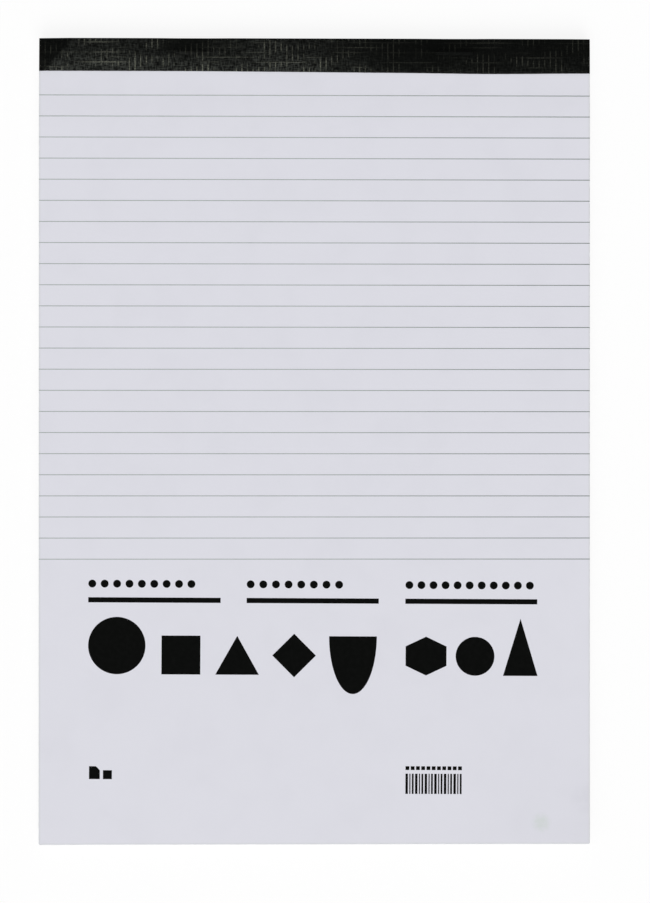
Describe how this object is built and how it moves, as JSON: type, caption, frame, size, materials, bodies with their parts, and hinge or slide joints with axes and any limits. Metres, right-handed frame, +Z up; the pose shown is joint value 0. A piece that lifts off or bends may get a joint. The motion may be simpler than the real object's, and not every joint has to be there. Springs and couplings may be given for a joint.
{
  "type": "legal pad",
  "caption": "Writing pad of ruled A4 leaves with a printed cover sheet, stitched and bound at the head with black linen tape.",
  "frame": {"origin": "under the middle of the pad, on the ground it lies on", "axes": "X across the pad, +Y towards the bound head, +Z up out of the printed cover"},
  "size_m": [0.21, 0.3072, 0.0097],
  "materials": {
    "greyboard": "solid greyboard, matt and slightly fibrous",
    "leaf_paper": "uncoated ruled writing paper",
    "cover_paper": "smooth uncoated cover paper, printed with rules and plain shapes",
    "linen_tape": "black book cloth with a linen emboss and a slight gloss",
    "staple_wire": "drawn galvanised wire"
  },
  "bodies": {
    "root": {"backing_board": "greyboard", "sheet_block": "leaf_paper", "front_cover": "cover_paper", "binding_tape": "linen_tape", "staple_left": "staple_wire", "staple_right": "staple_wire"}
  },
  "joints": []
}
